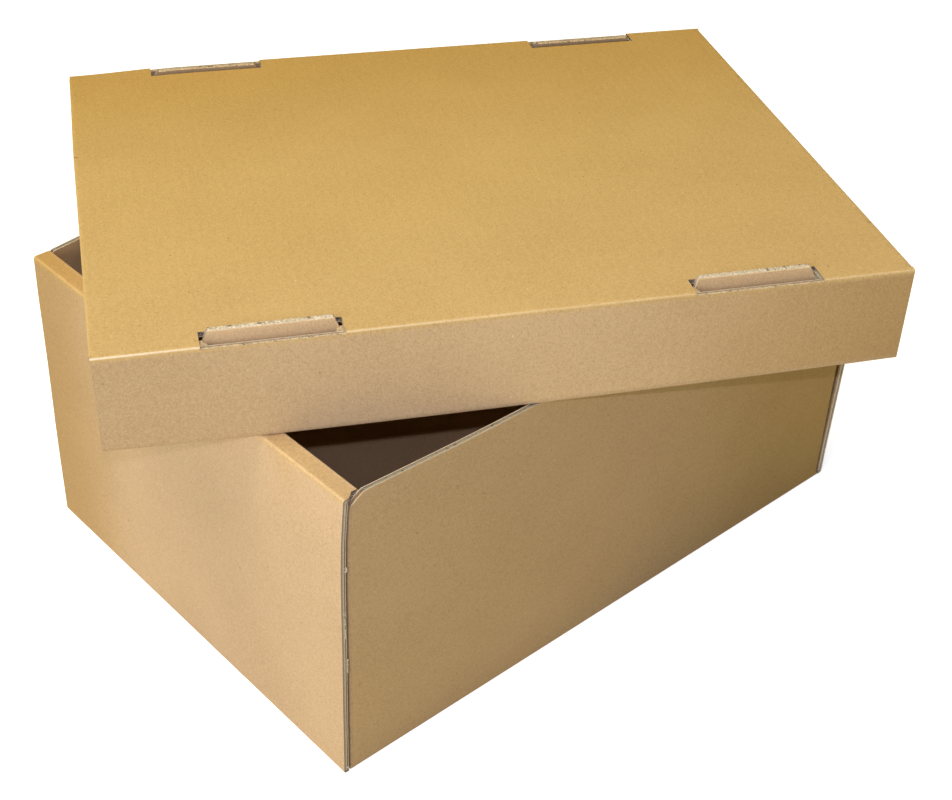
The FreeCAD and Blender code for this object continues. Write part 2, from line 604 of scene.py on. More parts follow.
def single_at(plan, layer, side_x, side_y):
    """Places a point of a single wall or its flap, with the cut corners and tapered flaps."""
    y0 = -plan.run / 2
    side = plan.span / 2 - BOARD - plan.play

    def limits(row):
        spot = row.place(0.0)
        share = held((spot.x + side) / CORNER_RUN)
        low = FOLD_ROOM
        high = plan.height - CORNER_DROP * (1.0 - eased(share))
        if row.zone == "corner" and spot.x + side < 2 * LAYER_GAP:
            low = CORNER_FOOT
        if row.zone == "flap":
            share = (spot.y - y0 - FOLD_ROOM) / (plan.reach - FOLD_ROOM)
            low += FLAP_TAPER * share
            high = plan.height - CORNER_DROP - FLAP_TAPER * share
        return low, high

    def at(row, up):
        low, high = limits(row)
        z = up
        if up < FOLD_ROOM + SQUEEZE:
            share = (FOLD_ROOM + SQUEEZE - up) / SQUEEZE
            z = up + (low - FOLD_ROOM) * share
        elif up > plan.height - SQUEEZE:
            share = (up - plan.height + SQUEEZE) / SQUEEZE
            z = up + (high - plan.height) * share
        near, far = layer(up)
        spots = (row.place(near), row.place(far))
        front, back = (Vector((side_x * spot.x, side_y * spot.y, z)) for spot in spots)
        across = -plan.run / 2 + FOLD_ROOM - FOLD_LENGTH - (up - FOLD_ROOM)
        blank = (side_x * row.along, side_y * across, near + far)
        return front, back, blank, row.wear, outer_zone(layer, "side")

    return at


def eased(share):
    """A straight slope from 0 to 1 with its two ends rounded."""
    return 0.5 * share + 0.5 * share * share * (3 - 2 * share)


def fold_rows(plan, layer):
    """Stations round the fold between the panel and a single wall, in the y-z plane."""
    corner = Vector((-plan.run / 2, 0.0))
    up, right = Vector((0.0, 1.0)), Vector((1.0, 0.0))
    start = Station(flat(corner + right * FOLD_ROOM, up), 0.0, "fold", 0.0)
    zones = ("fold", "fold", "fold")
    return [start, *fold(corner, up, right, OUTER_BEND, 0.0, zones, bend_steps(layer))]


def fold_at(plan, layer, side_x, side_y):
    """Places a point of a single wall's fold, where flutes lie flat between the liners."""

    def at(row, x):
        near, far = layer(FLUTE_PITCH / 4)
        spots = (row.place(near), row.place(far))
        front, back = (Vector((side_x * -x, side_y * spot.x, spot.y)) for spot in spots)
        across = -plan.run / 2 + FOLD_ROOM - row.along
        blank = (side_x * x, side_y * across, near + far)
        return front, back, blank, row.wear, outer_zone(layer, "fold")

    return at


def always(row, following, across):
    """Keeps every cell."""
    return True


def folded_board(plan, materials):
    """The whole folded sheet as one object."""
    paper = Paper(plan)
    fold_end = plan.span / 2 - BOARD - plan.play - SLOT_SIDE
    for layer in (outer_liner, inner_liner, fluted):
        paper.new_layer()
        face = FLUTE_FACE if layer is fluted else LINER_FACE
        folds = fold_rows(plan, layer)
        fold_marks = [*[m for m in panel_marks(plan, layer) if m < fold_end], fold_end]
        rows = rolled_rows(plan, layer)
        columns = rolled_columns(plan, layer)
        for side_x in (1, -1):
            at = rolled_at(plan, layer, side_x)
            paper.grid(rows, columns, at, rolled_keep(plan, side_x), side_x < 0, face)
        rows = single_rows(plan, layer)
        heights = [FOLD_ROOM, FOLD_ROOM + SQUEEZE, plan.height - SQUEEZE, plan.height]
        columns = sheet_columns(heights, layer)
        for side_x in (1, -1):
            for side_y in (1, -1):
                flip = side_x * side_y > 0
                at = single_at(plan, layer, side_x, side_y)
                paper.grid(rows, columns, at, always, flip, face)
                at = fold_at(plan, layer, side_x, side_y)
                xs = subdivide(fold_marks, PANEL_STEP)
                paper.grid(folds, xs, at, always, flip, face)
    if plan.slot_span[1] is None:
        for tab in plan.tabs:
            for side in (1, -1):
                torn_tab(paper, plan, tab, side)
                torn_lip(paper, plan, tab, side)
        left, right = sorted(plan.tabs, key=lambda tab: -tab.centre)
        for tab, end in ((left, 1), (left, -1), (right, 1)):
            slot_scrap(paper, plan, tab, -1, end, TORN_KRAFT)
        slot_scrap(paper, plan, right, -1, -1, FRAYED_EDGE)
    else:
        fibre_tufts(paper, plan)
        frayed_edges(paper, plan)
    return paper.build(materials)


# Torn edges: thin rough strips of fibre over a cut edge of the board


def rough(seed, a, b, scale):
    """A smooth random value from -1 to 1, at a place on an edge."""
    return noise.noise(Vector((a / scale, b / scale, seed * 7.3)))


def torn_strip(paper, start, end, width, inward, outward, seed, rise, side, material=TORN_EDGE):
    """Covers an edge from start to end. It runs inward from them, and its bumps rise outward.

    The seed makes each strip's roughness its own.
    """
    paper.new_layer()
    length = (end - start).length
    step = FRAYED_STEP if material == FRAYED_EDGE else TORN_STEP
    count = max(1, round(length / step))
    rows = [length * k / count for k in range(count + 1)]

    def at(along, share):
        coarse = rough(seed, along, share * TORN_SPREAD, TORN_COARSE)
        fine = rough(seed, along, share, TORN_FINE)
        edge = TORN_RAGGED * (coarse + fine)
        bump = rough(seed + 3, along, share * width, TORN_BUMP)
        lift = rise * (TORN_LIFT + (1.0 - TORN_LIFT) * bump)
        if share in (0.0, 1.0):
            lift = -TORN_SINK * rise
        point = start + (end - start) * (along / length) + inward * (share * width + edge)
        front = point + outward * lift
        back = point - outward * TORN_DEEP * rise
        return (
            Vector((side * front.x, front.y, front.z)),
            Vector((side * back.x, back.y, back.z)),
            (along + seed * TORN_APART, share * width, seed * MM),
            0.0,
        )

    paper.grid(rows, TORN_COLUMNS, at, always, side < 0, material)


def torn_tab(paper, plan, tab, side):
    """Torn fibre on a tab's tip."""
    x1 = -plan.span / 2 + plan.roll
    z = tab.tip_z + TAB_TEAR
    half = tab.half - TAB_TEAR_INSET
    start, end = Vector((x1, tab.centre - half, z)), Vector((x1, tab.centre + half, z))
    seed = 11 * side + (5 if tab.centre > 0 else 0)
    inward, outward = Vector((-1, 0, 0)), Vector((0, 0, -1))
    width = BOARD + TAB_TEAR_SPARE
    material = TORN_EDGE if side < 0 else TORN_KRAFT
    torn_strip(paper, start, end, width, inward, outward, seed, TAB_TEAR, side, material)


def torn_lip(paper, plan, tab, side):
    """Torn fibre on the low lip of a tab's slot."""
    x0 = -plan.span / 2 + LIP_TEAR_INSET
    start = Vector((x0, tab.centre - plan.slot_half, SLOT_LIP))
    end = Vector((x0, tab.centre + plan.slot_half, SLOT_LIP))
    seed = 17 * side + (3 if tab.centre > 0 else 0)
    inward, outward = Vector((1, 0, 0)), Vector((0, 0, -1))
    torn_strip(paper, start, end, LIP_TEAR, inward, outward, seed, LIP_TEAR_RISE, side, TORN_KRAFT)


def slot_scrap(paper, plan, tab, side, end, material):
    """Torn paper in the corner of a slot, beside the lip."""
    x0 = -plan.span / 2 + BOARD - SCRAP_OVERLAP
    y = tab.centre + end * plan.slot_half
    seed = 23 * side + 7 * end + (3 if tab.centre > 0 else 0)
    start = Vector((x0, y, SCRAP_DEPTH))
    tip = start + Vector((SCRAP_LENGTH, 0, SCRAP_SLOPE))
    inward, outward = Vector((0, -end, 0)), Vector((0, 0, -1))
    torn_strip(paper, start, tip, SCRAP_WIDTH, inward, outward, seed, SCRAP_RISE, side, material)


def frayed_edges(paper, plan):
    """Crushed flutes between the two liners, along the raw top edges of the single walls."""
    half = plan.span / 2 - BOARD - plan.play - CORNER_RUN
    for side in (1, -1):
        y = side * (plan.run / 2 - LINER)
        z = plan.height - FRAYED_DEPTH
        start, end = Vector((-half, y, z)), Vector((half, y, z))
        inward, outward = Vector((0, -side, 0)), Vector((0, 0, 1))
        width = BOARD - 2 * LINER
        seed = 60 + side
        torn_strip(paper, start, end, width, inward, outward, seed, FRAYED_RISE, 1, FRAYED_EDGE)


def fibre_tufts(paper, plan):
    """Loose fibres on the raw edge of the rolled wall at -X, at its end at -Y."""
    x0 = -plan.span / 2
    y0 = -plan.run / 2 + EDGE_INSET
    for seed, (low, high, x, width) in enumerate(TUFTS):
        start = Vector((x0 + x, y0, low))
        end = Vector((x0 + x + TUFT_LEAN, y0, high))
        inward, outward = Vector((1, 0, 0)), Vector((0, -1, 0))
        torn_strip(paper, start, end, width, inward, outward, 40 + seed, TUFT_RISE, 1)


# Node materials

# Tints for yellowed and browner paper, which also carry painted shade
AGED_AND_SHADED_TINT = (1.0, 0.965, 0.66)
TANNED_AND_SHADED_TINT = (0.88, 0.8, 0.55)
RUBBED_KRAFT = (0.86, 0.79, 0.66)
# Dark kraft for nicks and scuffs, and for painted shade
SCUFF_AND_SHADE_KRAFT = (0.19, 0.115, 0.07)
PALE_EDGE = (0.95, 0.88, 0.78)
KRAFT_RELIEF = 0.12 * MM
CUT_RELIEF = 0.15 * MM
TORN_RELIEF = 0.3 * MM


def new_material(name):
    material = bpy.data.materials.new(name)
    material.use_nodes = True
    tree = material.node_tree
    tree.nodes.clear()
    return material, tree


def link(tree, source, target):
    tree.links.new(source, target)


def node(tree, kind, **settings):
    """A node with its settings, where a key like in_Scale sets the input of that name."""
    item = tree.nodes.new(kind)
    for key, value in settings.items():
        if key.startswith("in_"):
            item.inputs[key[3:]].default_value = value
        else:
            setattr(item, key, value)
    return item


def attribute(tree, name):
    return node(tree, "ShaderNodeAttribute", attribute_name=name)


def scaled(tree, vector, scale):
    item = node(tree, "ShaderNodeMapping", in_Scale=scale)
    link(tree, vector, item.inputs["Vector"])
    return item.outputs["Vector"]


def noise_value(tree, vector, scale, detail=2.0, roughness=0.5):
    item = node(tree, "ShaderNodeTexNoise", in_Scale=scale, in_Detail=detail, in_Roughness=roughness)
    link(tree, vector, item.inputs["Vector"])
    return item.outputs["Fac"]


def remap(tree, value, low, high, to_low, to_high):
    """Turns a value's range from low to high into another range, held at its ends."""
    item = node(tree, "ShaderNodeMapRange", clamp=True)
    names = ("From Min", "From Max", "To Min", "To Max")
    for name, number in zip(names, (low, high, to_low, to_high)):
        item.inputs[name].default_value = number
    link(tree, value, item.inputs["Value"])
    return item.outputs["Result"]


def maths(tree, operation, a, b=None):
    item = node(tree, "ShaderNodeMath", operation=operation)
    for socket, value in zip(item.inputs, (a, b)):
        if value is None:
            continue
        if isinstance(value, (int, float)):
            socket.default_value = value
        else:
            link(tree, value, socket)
    return item.outputs["Value"]


def mix(tree, share, a, b, blend="MIX"):
    """Mixes two colors, each given as three numbers or as a socket."""
    item = node(tree, "ShaderNodeMix", data_type="RGBA", blend_type=blend)
    for name, value in (("Factor_Float", share), ("A_Color", a), ("B_Color", b)):
        socket = next(s for s in item.inputs if s.identifier == name)
        if isinstance(value, (int, float)):
            socket.default_value = value
        elif isinstance(value, tuple):
            socket.default_value = (*value, 1.0)
        else:
            link(tree, value, socket)
    return next(s for s in item.outputs if s.identifier == "Result_Color")


def finish_material(tree, color, roughness, height, distance, strength=0.6):
    """Ends a paper's material with a matt surface and a low relief."""
    surface = node(tree, "ShaderNodeBsdfPrincipled")
    surface.inputs["Specular IOR Level"].default_value = 0.3
    link(tree, color, surface.inputs["Base Color"])
    link(tree, roughness, surface.inputs["Roughness"])
    relief = node(tree, "ShaderNodeBump", in_Strength=strength, in_Distance=distance)
    link(tree, height, relief.inputs["Height"])
    link(tree, relief.outputs["Normal"], surface.inputs["Normal"])
    link(tree, surface.outputs["BSDF"], node(tree, "ShaderNodeOutputMaterial").inputs["Surface"])


def kraft_material(name, base, dark, light):
    """Kraft liner: cloudy color, short fibres, dark and pale specks, faint flute lines."""
    material, tree = new_material(name)
    blank = attribute(tree, "blank").outputs["Vector"]
    wear = attribute(tree, "wear").outputs["Fac"]
    clouds = noise_value(tree, blank, 14.0, 3.0)
    mottle = noise_value(tree, blank, 820.0, 3.0, 0.65)
    fibres = noise_value(tree, scaled(tree, blank, (340.0, 1500.0, 900.0)), 1.0, 2.0, 0.6)
    color = mix(tree, remap(tree, clouds, 0.3, 0.7, 0.0, 1.0), dark, base)
    color = mix(tree, remap(tree, mottle, 0.35, 0.7, 0.0, 0.7), color, light)
    color = mix(tree, remap(tree, fibres, 0.55, 0.75, 0.0, 0.35), color, light)
    grit = noise_value(tree, blank, 1300.0, 1.0)
    color = mix(tree, remap(tree, grit, 0.5, 0.72, 0.0, 0.45), color, tuple(c * 0.7 for c in dark))
    specks = node(tree, "ShaderNodeTexVoronoi", feature="F1", in_Scale=150.0)
    link(tree, blank, specks.inputs["Vector"])
    near = remap(tree, specks.outputs["Distance"], 0.05, 0.11, 1.0, 0.0)
    picked = node(tree, "ShaderNodeSeparateColor")
    link(tree, specks.outputs["Color"], picked.inputs["Color"])
    dark_speck = tuple(c * 0.3 for c in dark)
    pale_speck = tuple(min(1.0, c * 1.5) for c in light)
    for pick, least, share, tint in (("Red", 0.86, 0.6, dark_speck), ("Green", 0.9, 0.5, pale_speck)):
        is_picked = maths(tree, "GREATER_THAN", picked.outputs[pick], least)
        strength = maths(tree, "MULTIPLY", near, maths(tree, "MULTIPLY", is_picked, share))
        color = mix(tree, strength, color, tint)
    # Yellowed and browner tints; on the lid's top and the tray's long walls they also paint shade.
    for name, tint in (("aged_and_shaded", AGED_AND_SHADED_TINT), ("tanned_and_shaded", TANNED_AND_SHADED_TINT)):
        color = mix(tree, attribute(tree, name).outputs["Fac"], color, tint, "MULTIPLY")
    rubbed = remap(tree, noise_value(tree, blank, 9.0, 4.0, 0.6), 0.35, 0.6, 0.35, 1.0)
    color = mix(tree, maths(tree, "MULTIPLY", wear, rubbed), color, RUBBED_KRAFT)
    # Below 0, wear darkens the paper: nicks and scuffs, and painted shade in slots, creases and
    # corners.
    scuff_and_shade = maths(tree, "MULTIPLY", wear, remap(tree, mottle, 0.35, 0.65, -0.85, -0.65))
    color = mix(tree, remap(tree, scuff_and_shade, 0.0, 0.8, 0.0, 0.6), color, SCUFF_AND_SHADE_KRAFT)
    axes = node(tree, "ShaderNodeSeparateXYZ")
    link(tree, blank, axes.inputs["Vector"])
    turns = maths(tree, "MULTIPLY", axes.outputs["Y"], 2 * math.pi / FLUTE_PITCH)
    seam = maths(tree, "SINE", turns)
    height = maths(tree, "ADD", maths(tree, "MULTIPLY", seam, 0.45), mottle)
    height = maths(tree, "ADD", height, maths(tree, "MULTIPLY", fibres, 0.5))
    roughness = remap(tree, mottle, 0.3, 0.7, 0.72, 0.88)
    finish_material(tree, color, roughness, height, KRAFT_RELIEF, 0.3)
    return material


def cut_material(name, base, dark, outer):
    """Cut edges: pale fibre, with the outer paper's edge in its own color."""
    material, tree = new_material(name)
    blank = attribute(tree, "blank").outputs["Vector"]
    fibres = noise_value(tree, blank, 1400.0, 3.0, 0.6)
    color = mix(tree, remap(tree, fibres, 0.35, 0.65, 0.0, 1.0), dark, base)
    axes = node(tree, "ShaderNodeSeparateXYZ")
    link(tree, blank, axes.inputs["Vector"])
    is_outer = remap(tree, axes.outputs["Z"], 1.0 * MM, 2.0 * MM, 1.0, 0.0)
    color = mix(tree, is_outer, color, outer)
    wear = attribute(tree, "wear").outputs["Fac"]
    color = mix(tree, remap(tree, wear, 0.3, 0.9, 0.0, 1.0), color, PALE_EDGE)
    roughness = remap(tree, fibres, 0.3, 0.7, 0.8, 0.95)
    finish_material(tree, color, roughness, fibres, CUT_RELIEF)
    return material


def torn_material(name, base, dark):
    """Torn fibre: whitish, with brown and nearly black pits."""
    material, tree = new_material(name)
    blank = attribute(tree, "blank").outputs["Vector"]
    fibres = noise_value(tree, blank, 900.0, 3.0, 0.65)
    pits = noise_value(tree, blank, 330.0, 2.0, 0.5)
    color = mix(tree, remap(tree, fibres, 0.38, 0.6, 0.0, 1.0), dark, base)
    color = mix(tree, remap(tree, pits, 0.6, 0.68, 0.0, 0.8), color, tuple(c * 0.25 for c in dark))
    roughness = remap(tree, fibres, 0.3, 0.7, 0.85, 0.95)
    finish_material(tree, color, roughness, fibres, TORN_RELIEF)
    return material


TRAY_KRAFT = kraft_material(
    "tray_kraft", base=(0.56, 0.385, 0.232), dark=(0.5, 0.335, 0.195), light=(0.66, 0.475, 0.305)
)
LID_KRAFT = kraft_material(
    "lid_kraft", base=(0.565, 0.38, 0.205), dark=(0.51, 0.335, 0.17), light=(0.66, 0.475, 0.275)
)
CUT_PAPER = cut_material(
    "cut_paper", base=(0.82, 0.72, 0.58), dark=(0.52, 0.43, 0.33), outer=(0.36, 0.29, 0.2)
)
TORN_PAPER = torn_material("torn_paper", base=(0.75, 0.65, 0.5), dark=(0.4, 0.31, 0.21))
TORN_KRAFT_PAPER = torn_material("torn_kraft", base=(0.66, 0.51, 0.33), dark=(0.36, 0.26, 0.16))
FRAYED_PAPER = torn_material("frayed_paper", base=(0.31, 0.265, 0.2), dark=(0.2, 0.17, 0.13))
FLUTE_KRAFT = cut_material(
    "flute_kraft", base=(0.58, 0.5, 0.39), dark=(0.38, 0.32, 0.24), outer=(0.48, 0.4, 0.3)
)


# The two sheets

tray_low, tray_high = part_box("tray")
TRAY_LENGTH = tray_high[0] - tray_low[0]
TRAY_WIDTH = tray_high[1] - tray_low[1]
TRAY_HEIGHT = tray_high[2] - tray_low[2]
TRAY_PLAY = 1.4 * MM
TRAY_ROLL = 3 * BOARD + 2 * TRAY_PLAY
TRAY_FLAP_REACH = 95.0 * MM
TRAY_TAB_SPACING = 160.0 * MM
TRAY_TAB_HALF = 23.0 * MM
TRAY_TAB_SLANT = 1.0 * MM
TRAY_TAB_RECESS = 0.5 * MM

LID_LENGTH = 447.0 * MM
LID_WIDTH = 348.0 * MM
LID_HEIGHT = 59.0 * MM
LID_ROLL = 14.0 * MM
LID_FLAP_REACH = 110.0 * MM
LID_TAB_SPACING = 264.0 * MM
LID_TAB_HALF = 32.5 * MM
LID_TAB_SLANT = 3.0 * MM
LID_TAB_PROUD = 3.0 * MM

# How the lid lies on the tray
LID_TURN = math.radians(-28.0)
LID_SHIFT = Vector((-5.7 * MM, 2.7 * MM, 0.0))

# How the tray is bent. Its ends shift as far in as the reach. The end at -X leans in, more at
# the front and towards the rim, with a bump at the rear.
TRAY_LEAN_REACH = 160.0 * MM
LEAN_FOOT = 0.2 * MM
LEAN_FRONT = 0.8 * MM
LEAN_MIDDLE = 1.1 * MM
LEAN_RIM = 2.4 * MM
LEAN_RIM_FRONT = 0.9 * MM
LEAN_BUMP = 1.7 * MM
LEAN_BUMP_RISE = 0.76
LEAN_BUMP_SPREAD = 0.3
# The end at +X leans in at its foot, and its outer panel stands out at the front
FAR_FOOT = 0.8 * MM
FAR_SPLAY = 1.5 * MM
FAR_BELLY = 3.6 * MM
FAR_BELLY_RISE = 1.2
FAR_GAP_SPARE = 0.2 * MM
# The long walls bow out at their tops
REAR_BOW = 10.5 * MM
REAR_BOW_EASE = 45.0 * MM
FRONT_BOW = 2.6 * MM
FRONT_BOW_PLACE = -0.11
FRONT_BOW_SPREAD = 0.09
BOW_START = 0.7

# How the lid is bent: its long side at +X bows out, and one corner of its top droops
LID_BOW = 2.4 * MM
LID_BOW_START = 0.8
LID_BOW_FALL = 1.6 * MM
LID_DROOP = 2.3 * MM
LID_DROOP_IN = 1.1 * MM
LID_DROOP_ALONG = 0.65
LID_DROOP_ACROSS = 0.2

# Above 0, wear marks paper rubbed pale, and below 0 dark paper: nicks and scuffs,
# and painted shade on the tab faces, the lid's free crease, the ends of its long side at +X, the
# corner folds and the far end's inner face by its gap. aged_and_shaded paper is yellowed, and
# tanned_and_shaded paper browner; on the lid's top and the tray's long walls these tints also
# hold painted shade. Ranges are distances from the middle.
LID_RUBBED_CORNER = Vector((LID_WIDTH / 2, LID_LENGTH / 2, 0.0))
LID_RUBBED_REACH = 95.0 * MM
LID_FOLD_WEAR = (0.25, 0.9)
# The long side at +X: darker towards both ends as painted shade, and browner towards -Y.
LID_SIDE_RANGE = (40.0 * MM, 220.0 * MM)
LID_SIDE_SHADE = -0.36
LID_SIDE_TANNED = 0.75
# The top: yellowed paper, and darker and yellower towards the back, partly as painted shade.
LID_TOP_AGED_AND_SHADED = (0.74, 1.0)
LID_TOP_AGED_AND_SHADED_RISE = 2.2
LID_TOP_TANNED_AND_SHADED = 0.85
LID_TOP_TANNED_AND_SHADED_START = 0.45
# Dark nicks in the lid's short folds: place across the lid, and 1 at +Y or -1 at -Y
LID_NICKS = (Vector((-48.0 * MM, 1.0)), Vector((-87.0 * MM, -1.0)), Vector((119.0 * MM, -1.0)))
NICK_WEAR = -1.5
# Tab faces, down in their slots, darkened as painted shade.
TAB_SHADE = -0.35
# The crease along the lid's free edge: a dark line of painted shadow.
CREASE_SHADOW = -0.4
TRAY_FOLD_WEAR = 0.1
# The end walls grow darker and browner towards the rear, and the rim browner.
TRAY_REAR_RANGE = (55.0 * MM, 145.0 * MM)
TRAY_REAR_DARKENING = -0.3
TRAY_REAR_BROWNER = 0.95
# The long walls: yellower and darker towards +X, partly paper tone and partly painted shade of light
# falling off along them.
TRAY_SIDE_AGED_AND_SHADED = (0.4, 1.0)
TRAY_SIDE_TANNED_AND_SHADED = 0.45
INSIDE_TANNED = 0.6
RIM_WEAR = -0.25
RIM_AGED = (0.5, 0.9)
RIM_TANNED = (0.15, 0.9)
# The far end's outer panel by its gap: its inner face darkened as painted shade, its raw edge pale
FAR_EDGE_SHADE_AND_PALE = (-1.0, 0.9)
# A browner patch on the end walls, just below the rim towards the front.
BROWN_PATCH_AT = (-105.0 * MM, 188.0 * MM)
BROWN_PATCH_SIZE = (14.0 * MM, 11.0 * MM)
BROWN_PATCH_STRENGTH = 0.55


def pair_of_tabs(spacing, half, slant, tip_z):
    return [Tab(centre, half, slant, tip_z) for centre in (-spacing / 2, spacing / 2)]


def near_end_lean(front, rise):
    """How far the tray's end at -X leans in, at shares of the way to the front and the rim."""
    lean = LEAN_FOOT + LEAN_FRONT * front + LEAN_MIDDLE * min(1.0, 2.0 * rise)
    lean += (LEAN_RIM + LEAN_RIM_FRONT * front) * rise**8
    return lean + LEAN_BUMP * (1.0 - front) ** 2 * hump(rise, LEAN_BUMP_RISE, LEAN_BUMP_SPREAD)


def wall_bow(p):
    """How far a long wall of the tray bows out at its top."""
    if p.y > 0:
        from_end = TRAY_LENGTH / 2 - abs(p.x)
        return REAR_BOW * (1.0 - hump(from_end, 0.0, REAR_BOW_EASE))
    return FRONT_BOW * hump(p.x, FRONT_BOW_PLACE, FRONT_BOW_SPREAD)


def tray_warp(p):
    """The end at -X leans in, the end at +X stands out at -Y, and the long walls bow out."""
    half = TRAY_LENGTH / 2
    rise = p.z / TRAY_HEIGHT
    front = 0.5 - p.y / TRAY_WIDTH
    shift = near_end_lean(front, rise) * held((TRAY_LEAN_REACH - p.x - half) / TRAY_LEAN_REACH)
    shift -= FAR_FOOT * held((TRAY_LEAN_REACH + p.x - half) / TRAY_LEAN_REACH) * (1.0 - rise)
    splay = FAR_SPLAY + FAR_BELLY * math.sin(math.pi * rise / FAR_BELLY_RISE) ** 2
    shift += splay * outer_panel(p) * front**3
    outward = max(0.0, abs(p.y) / (TRAY_WIDTH / 2) - BOW_START) / (1.0 - BOW_START)
    bow = wall_bow(p) * rise**2 * outward
    return Vector((p.x + shift, p.y + math.copysign(bow, p.y), p.z))


def outer_panel(p):
    """1 on the outer panel of the end at +X, and 0 behind it. On its rim it fades inward."""
    half = TRAY_LENGTH / 2
    start = half - BOARD - TRAY_PLAY
    if p.z > TRAY_HEIGHT - BOARD - INNER_BEND:
        start = half - TRAY_ROLL + BOARD
    end = half - BOARD - FAR_GAP_SPARE
    return held((p.x - start) / (end - start))


def lid_warp(p):
    """The long side at +X bows out at its free edge, and one corner of the top droops."""
    across = p.x / (LID_WIDTH / 2)
    along = p.y / (LID_LENGTH / 2)
    weight = max(0.0, across - LID_BOW_START) / (1.0 - LID_BOW_START)
    bow = LID_BOW * (1.0 - along**2) - LID_BOW_FALL * max(0.0, along) ** 4
    bow *= weight * p.z / LID_HEIGHT
    droop = smooth(LID_DROOP_ALONG, 1.0, along) * smooth(LID_DROOP_ACROSS, 1.0, -across)
    return Vector((p.x + bow, p.y - LID_DROOP_IN * droop, p.z + LID_DROOP * droop))


def lid_rub_and_shade(zone, wear, p):
    """The top fold at +X is rubbed pale near its corner at +Y. The short folds have nicks. The tab
    faces, the free crease and the ends of the long side at +X are darkened as painted shade.
    """
    # Painted shade on the tab faces in their slots.
    if zone == "tab":
        return TAB_SHADE
    # Painted shade towards both ends of the long side at +X.
    if zone == "wall" and p.x > 0:
        return LID_SIDE_SHADE * smooth(*LID_SIDE_RANGE, abs(p.y))
    # Painted shadow line along the crease of the free edge.
    if zone == "crease":
        return CREASE_SHADOW
    for nick in LID_NICKS:
        if zone == "fold" and abs(p.x - nick.x) < 0.1 * NICK_HALF and p.y * nick.y > 0.0:
            return NICK_WEAR
    if p.z > LID_HEIGHT / 2 or p.x < LID_WIDTH / 2 - FOLD_ROOM:
        return 0.0
    away = (p - LID_RUBBED_CORNER).length
    return wear * between(LID_FOLD_WEAR, hump(away, 0.0, LID_RUBBED_REACH))


def tray_rub_and_shade(zone, wear, p):
    """The rim's folds are rubbed a little. The far end's raw edge is pale behind a gap, and the
    panel's inner face by the gap is darkened as painted shade.
    """
    core = TRAY_WIDTH / 2 - FOLD_ROOM
    below_rim = p.z < TRAY_HEIGHT - 2 * BOARD
    # Painted shade on the inner face of the far end's outer panel by its gap, and a pale raw edge.
    if outer_panel(p) > 0.1 and below_rim and -p.y > core - SLOT_SIDE:
        edge = (-p.y - core) / (FOLD_ROOM - EDGE_INSET)
        least = 0.0 if zone == "wall" else FAR_EDGE_SHADE_AND_PALE[0]
        return min(FAR_EDGE_SHADE_AND_PALE[1], max(least, between(FAR_EDGE_SHADE_AND_PALE, edge)))
    if zone == "strip":
        return RIM_WEAR
    if zone in ("wall", "side", "panel", "corner") or p.z > TRAY_HEIGHT - 2 * BOARD:
        rear = smooth(*TRAY_REAR_RANGE, p.y) if zone == "wall" else 0.0
        return TRAY_FOLD_WEAR * wear + TRAY_REAR_DARKENING * rear if wear >= 0 else wear
    return wear


def lid_tint(zone, p):
    """How yellowed and how brown the lid's paper is, at a place. The top is yellowed, and darker and
    yellower towards the back, partly as painted shade.
    """
    if zone in ("panel", "foot", "lip", "fold"):
        back = 0.5 - p.x / LID_WIDTH
        aged_and_shaded = between(LID_TOP_AGED_AND_SHADED, min(1.0, LID_TOP_AGED_AND_SHADED_RISE * back))
        return aged_and_shaded, LID_TOP_TANNED_AND_SHADED * smooth(LID_TOP_TANNED_AND_SHADED_START, 1.0, back)
    if zone == "wall" and p.x > 0:
        return 0.0, LID_SIDE_TANNED * smooth(*LID_SIDE_RANGE, -p.y)
    return 0.0, 0.0


def tray_tint(zone, p):
    """How yellowed and how brown the tray's paper is, at a place. Towards +X the long walls grow
    darker and yellower, partly paper tone and partly painted shade where light falls off.
    """
    if zone in ("side", "fold"):
        # Paper tone with painted shade, falling off towards +X.
        right = smooth(0.0, TRAY_LENGTH / 2, p.x)
        return between(TRAY_SIDE_AGED_AND_SHADED, right), TRAY_SIDE_TANNED_AND_SHADED * right
    if zone == "inside":
        return 0.0, INSIDE_TANNED
    rear = smooth(*TRAY_REAR_RANGE, p.y)
    if zone in ("strip", "crease"):
        return between(RIM_AGED, rear), between(RIM_TANNED, rear)
    brown_patch = hump(p.y, BROWN_PATCH_AT[0], BROWN_PATCH_SIZE[0]) * hump(p.z, BROWN_PATCH_AT[1], BROWN_PATCH_SIZE[1])
    return 0.0, TRAY_REAR_BROWNER * rear + BROWN_PATCH_STRENGTH * brown_patch


def tray_plan():
    tab_back = TRAY_LENGTH / 2 - TRAY_ROLL
    return SheetPlan(
        name="tray_board",
        span=TRAY_LENGTH,
        run=TRAY_WIDTH,
        height=TRAY_HEIGHT,
        roll=TRAY_ROLL,
        reach=TRAY_FLAP_REACH,
        play=TRAY_PLAY,
        tabs=pair_of_tabs(TRAY_TAB_SPACING, TRAY_TAB_HALF, TRAY_TAB_SLANT, TRAY_TAB_RECESS),
        slot_half=TRAY_TAB_HALF + TRAY_TAB_SLANT + TAB_END_PLAY,
        slot_span=(tab_back - TAB_FACE_PLAY, tab_back + BOARD + TAB_FACE_PLAY),
        square=(1, 1),
        place=Matrix.Identity(4),
        warp=tray_warp,
        rub=tray_rub_and_shade,
        tint=tray_tint,
        nicks=(),
    )


def lid_place():
    """From the sheet as it is worked out, open side up, to where the lid lies."""
    turned_over = Matrix.Rotation(math.pi, 4, "X") @ Matrix.Rotation(math.pi / 2, 4, "Z")
    lifted = Matrix.Translation((0.0, 0.0, LID_HEIGHT)) @ turned_over
    turned = Matrix.Rotation(LID_TURN, 4, "Z") @ lifted
    return Matrix.Translation(LID_SHIFT + Vector((0.0, 0.0, TRAY_HEIGHT))) @ turned


